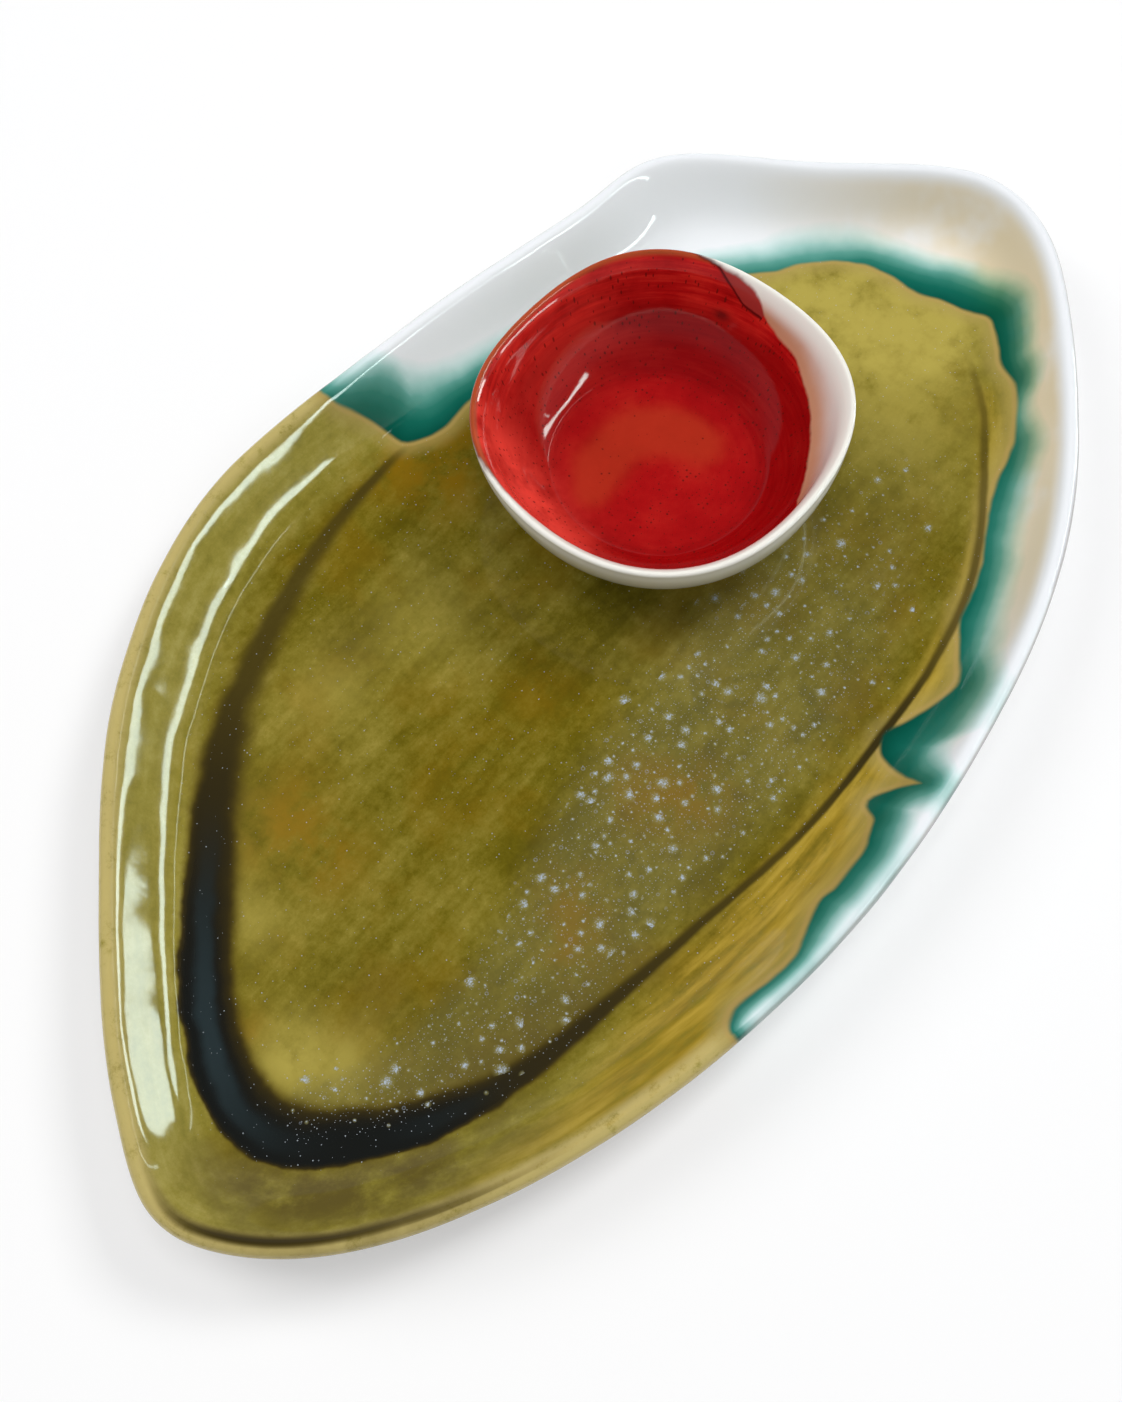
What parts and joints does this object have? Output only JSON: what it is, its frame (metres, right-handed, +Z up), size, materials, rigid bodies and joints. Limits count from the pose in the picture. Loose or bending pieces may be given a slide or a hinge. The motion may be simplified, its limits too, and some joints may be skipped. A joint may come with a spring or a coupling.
{
  "type": "chip and dip platter",
  "caption": "Long leaf-shaped stoneware platter with a raised sloping rim and a loose dip bowl standing on its floor, for serving chips with a dip.",
  "frame": {"origin": "on the table, under the middle of the platter's outline", "axes": "+X along the platter towards the end where the bowl stands, +Z up"},
  "size_m": [0.4397, 0.247, 0.0501],
  "materials": {
    "platter_glaze": "glossy olive glaze run over white, with a turquoise edge where they meet",
    "bowl_glaze": "glossy red glaze inside, cream-white glaze outside"
  },
  "bodies": {
    "platter": {"platter": "platter_glaze"},
    "bowl": {"dip_bowl": "bowl_glaze"}
  },
  "joints": [
    {"name": "bowl_lift", "type": "slide", "parent": "platter", "child": "bowl", "axis": [0, 0, 1], "range_m": [0, 0.12]}
  ]
}
